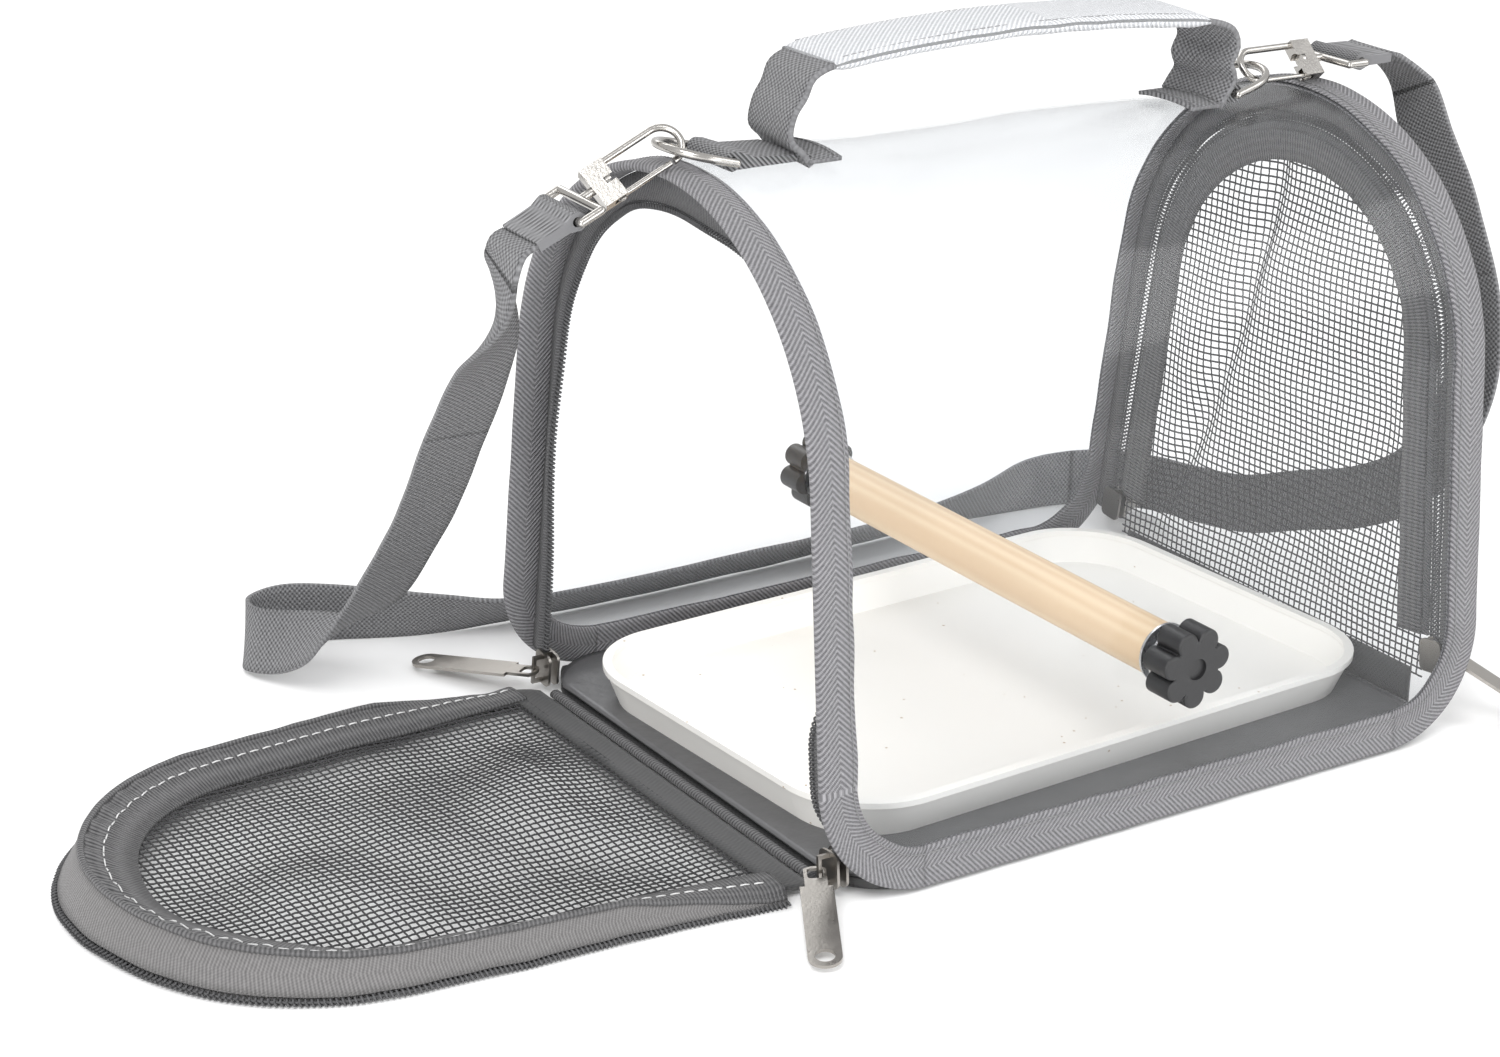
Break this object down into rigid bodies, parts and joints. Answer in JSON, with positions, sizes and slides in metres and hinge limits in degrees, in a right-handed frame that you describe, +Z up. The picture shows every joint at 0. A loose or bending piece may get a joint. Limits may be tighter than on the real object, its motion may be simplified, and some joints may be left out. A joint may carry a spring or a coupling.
{
  "type": "bird travel carrier",
  "caption": "Clear arched soft-sided travel carrier for a small bird, with zip-on mesh end doors, lift-out tray, screwed-in perch, carry handle and clip-on shoulder strap.",
  "frame": {"origin": "middle of the underside, on the surface that the carrier stands on", "axes": "+X from the open front door to the shut rear door, +Y to the side of the far knob, +Z up"},
  "size_m": [0.5498, 0.3296, 0.2681],
  "materials": {
    "clear_vinyl": "clear, glossy",
    "binding_twill": "herringbone twill tape",
    "zip_tape": "woven zip tape",
    "zip_teeth": "nylon coil",
    "grosgrain": "ribbed tape",
    "door_mesh": "open woven mesh",
    "base_cloth": "plain weave",
    "lining": "coated cloth",
    "base_board": "sheet",
    "tray": "speckled moulding",
    "pine": "sanded pine",
    "brass": "machined",
    "steel": "plated",
    "knob": "satin moulding",
    "sleeve": "pale webbing",
    "webbing": "woven webbing",
    "zip_metal": "nickel-plated zinc",
    "nickel": "nickel plate"
  },
  "bodies": {
    "root": {"clear_wrap": "clear_vinyl", "front_arch_binding": "binding_twill", "rear_arch_binding": "binding_twill", "near_base_binding": "binding_twill", "far_base_binding": "binding_twill", "base_cloth": "base_cloth", "base_board": "base_board", "floor_lining": "lining", "front_hem": "grosgrain", "rear_hem": "grosgrain", "front_zip_cabin_tape": "zip_tape", "front_zip_cabin_teeth": "zip_teeth", "rear_zip_cabin_tape": "zip_tape", "rear_zip_cabin_teeth": "zip_teeth", "perch_dowel": "pine", "perch_inserts": "brass", "perch_washers": "steel", "front_handle_anchor": "webbing", "rear_handle_anchor": "webbing", "front_ring_tab": "webbing", "rear_ring_tab": "webbing", "strap_front_length": "webbing", "strap_rear_length": "webbing"},
    "front_door": {"front_door_zip_teeth": "zip_teeth", "front_door_zip_tape": "zip_tape", "front_door_border": "grosgrain", "front_door_mesh": "door_mesh", "front_door_sill": "base_cloth"},
    "rear_door": {"rear_door_zip_teeth": "zip_teeth", "rear_door_zip_tape": "zip_tape", "rear_door_border": "grosgrain", "rear_door_mesh": "door_mesh", "rear_door_sill": "base_cloth"},
    "tray": {"tray": "tray"},
    "near_knob": {"near_knob": "knob", "near_knob_stud": "steel"},
    "far_knob": {"far_knob": "knob", "far_knob_stud": "steel"},
    "handle": {"handle_webbing": "webbing", "handle_sleeve": "sleeve"},
    "front_ring": {"front_ring": "nickel"},
    "rear_ring": {"rear_ring": "nickel"},
    "front_hook": {"front_hook": "nickel"},
    "rear_hook": {"rear_hook": "nickel"},
    "front_gate": {"front_hook_gate": "nickel"},
    "rear_gate": {"rear_hook_gate": "nickel"},
    "front_swivel": {"front_swivel": "nickel", "front_strap_loop": "webbing"},
    "rear_swivel": {"rear_swivel": "nickel", "rear_strap_loop": "webbing"},
    "front_near_slider": {"front_near_slider": "zip_metal"},
    "front_near_pull": {"front_near_pull": "zip_metal"},
    "front_far_slider": {"front_far_slider": "zip_metal"},
    "front_far_pull": {"front_far_pull": "zip_metal"},
    "rear_near_slider": {"rear_near_slider": "zip_metal"},
    "rear_near_pull": {"rear_near_pull": "zip_metal"},
    "rear_far_slider": {"rear_far_slider": "zip_metal"},
    "rear_far_pull": {"rear_far_pull": "zip_metal"}
  },
  "joints": [
    {"name": "front_door_swing", "type": "hinge", "parent": "root", "child": "front_door", "pos_m": [-0.141, 0, 0.00075], "axis": [0, 1, 0], "range_deg": [0, 90]},
    {"name": "rear_door_swing", "type": "hinge", "parent": "root", "child": "rear_door", "pos_m": [0.1438, 0, 0.00075], "axis": [0, 1, 0], "range_deg": [0, 90], "deforming": ["strap_rear_length"]},
    {"name": "tray_slide", "type": "slide", "parent": "root", "child": "tray", "axis": [0.9773, 0.0512, -0.2055], "range_m": [-0.3, 0]},
    {"name": "near_knob_turn", "type": "hinge", "parent": "root", "child": "near_knob", "pos_m": [-0.001, -0.11, 0.0606], "axis": [0, 1, 0], "continuous": true},
    {"name": "far_knob_turn", "type": "hinge", "parent": "root", "child": "far_knob", "pos_m": [-0.001, 0.11, 0.0606], "axis": [0, 1, 0], "continuous": true},
    {"name": "handle_tilt", "type": "hinge", "parent": "root", "child": "handle", "pos_m": [0, 0, 0.248], "axis": [1, 0, 0], "range_deg": [-80, 80]},
    {"name": "front_ring_lift", "type": "hinge", "parent": "root", "child": "front_ring", "pos_m": [-0.129, 0, 0.2323], "axis": [0, 1, 0], "range_deg": [0, 75], "deforming": ["strap_front_length"]},
    {"name": "front_hook_swing", "type": "hinge", "parent": "front_ring", "child": "front_hook", "pos_m": [-0.14986, 0, 0.2375], "axis": [0, 1, 0], "range_deg": [0, 25], "deforming": ["strap_front_length"]},
    {"name": "front_gate_open", "type": "hinge", "parent": "front_hook", "child": "front_gate", "pos_m": [-0.16773, -0.00398, 0.22356], "axis": [-0.3414, -0.6926, 0.6354], "range_deg": [0, 18], "stiffness_Nm_per_rad": 0.02},
    {"name": "front_hook_swivel", "type": "hinge", "parent": "front_hook", "child": "front_swivel", "pos_m": [-0.16961, 0.00088, 0.22785], "axis": [-0.8977, 0.0399, -0.4389], "continuous": true, "deforming": ["strap_front_length"]},
    {"name": "front_near_slider_run", "type": "slide", "parent": "root", "child": "front_near_slider", "axis": [0, -0.108, -0.9942], "range_m": [-0.012, 0]},
    {"name": "front_near_pull_swing", "type": "hinge", "parent": "front_near_slider", "child": "front_near_pull", "pos_m": [-0.143, -0.09674, 0.009], "axis": [0, 0.108, 0.9942], "range_deg": [-35, 0]},
    {"name": "front_far_slider_run", "type": "slide", "parent": "root", "child": "front_far_slider", "axis": [0, 0.108, -0.9942], "range_m": [-0.012, 0]},
    {"name": "front_far_pull_swing", "type": "hinge", "parent": "front_far_slider", "child": "front_far_pull", "pos_m": [-0.143, 0.09674, 0.009], "axis": [0, 0.108, -0.9942], "range_deg": [-35, 0]},
    {"name": "rear_ring_lift", "type": "hinge", "parent": "root", "child": "rear_ring", "pos_m": [0.093, 0, 0.2323], "axis": [0, -1, 0], "range_deg": [0, 75], "deforming": ["strap_rear_length"]},
    {"name": "rear_hook_swing", "type": "hinge", "parent": "rear_ring", "child": "rear_hook", "pos_m": [0.11367, 0, 0.23823], "axis": [0, -1, 0], "range_deg": [0, 25], "deforming": ["strap_rear_length"]},
    {"name": "rear_gate_open", "type": "hinge", "parent": "rear_hook", "child": "rear_gate", "pos_m": [0.13567, -0.00477, 0.23345], "axis": [0, 0.7071, -0.7071], "range_deg": [0, 18], "stiffness_Nm_per_rad": 0.02},
    {"name": "rear_hook_swivel", "type": "hinge", "parent": "rear_hook", "child": "rear_swivel", "pos_m": [0.13567, 0, 0.23823], "axis": [1, 0, 0], "range_deg": [-28, 28], "deforming": ["strap_rear_length"]},
    {"name": "rear_near_slider_run", "type": "slide", "parent": "root", "child": "rear_near_slider", "axis": [0, -0.108, -0.9942], "range_m": [-0.1, 0]},
    {"name": "rear_near_pull_swing", "type": "hinge", "parent": "rear_near_slider", "child": "rear_near_pull", "pos_m": [0.149, -0.09489, 0.026], "axis": [0, -0.108, -0.9942], "range_deg": [-35, 0]},
    {"name": "rear_far_slider_run", "type": "slide", "parent": "root", "child": "rear_far_slider", "axis": [0, 0.108, -0.9942], "range_m": [-0.1, 0]},
    {"name": "rear_far_pull_swing", "type": "hinge", "parent": "rear_far_slider", "child": "rear_far_pull", "pos_m": [0.149, 0.09489, 0.026], "axis": [0, -0.108, 0.9942], "range_deg": [-35, 0]}
  ]
}
